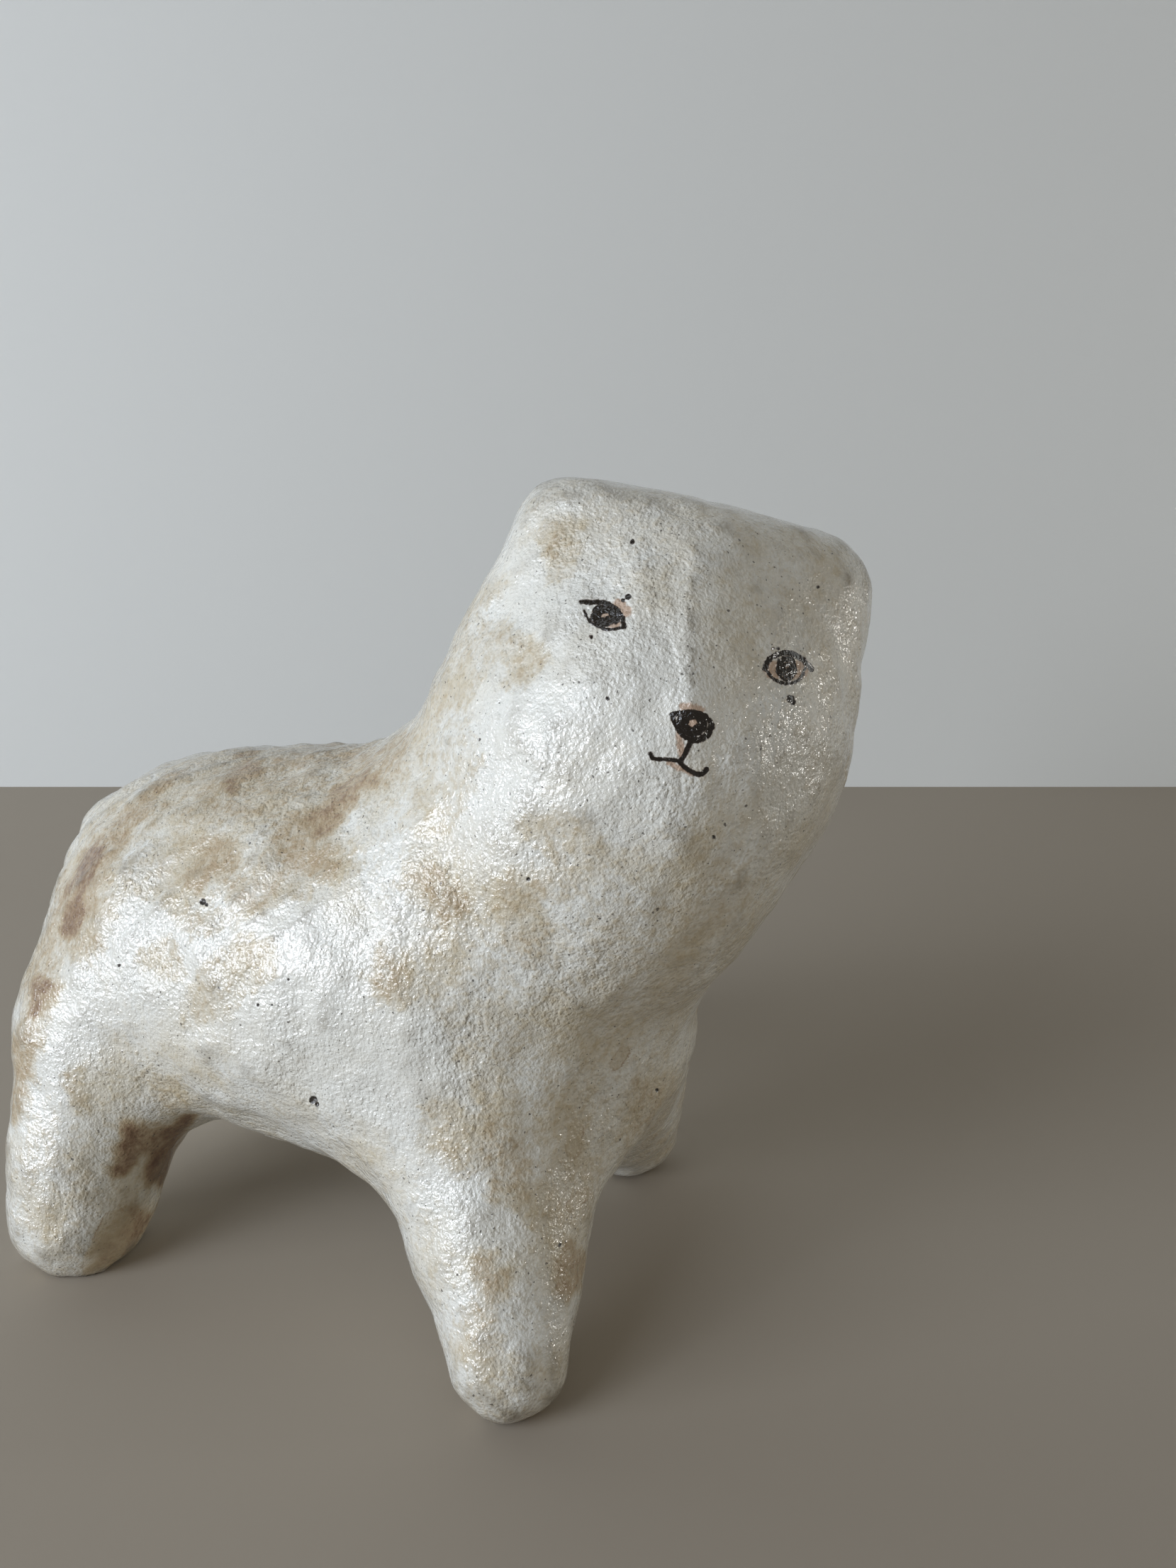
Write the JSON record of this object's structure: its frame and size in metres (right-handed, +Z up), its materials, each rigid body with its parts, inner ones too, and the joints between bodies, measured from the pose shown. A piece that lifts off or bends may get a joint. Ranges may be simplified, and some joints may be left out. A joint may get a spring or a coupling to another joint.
{
  "type": "stoneware bear",
  "caption": "Hand-built glazed stoneware bear that stands on four stub legs with its head turned to its right.",
  "frame": {"origin": "middle of the bounding box's underside, on the surface that the feet stand on", "axes": "+X the way the body faces, +Y the bear's left side, +Z up"},
  "size_m": [0.222, 0.1334, 0.209],
  "materials": {
    "glazed_stoneware": "cream-white semi-gloss glaze with iron specks and ochre breaks, painted face in brown-black"
  },
  "bodies": {
    "root": {"bear": "glazed_stoneware"}
  },
  "joints": []
}
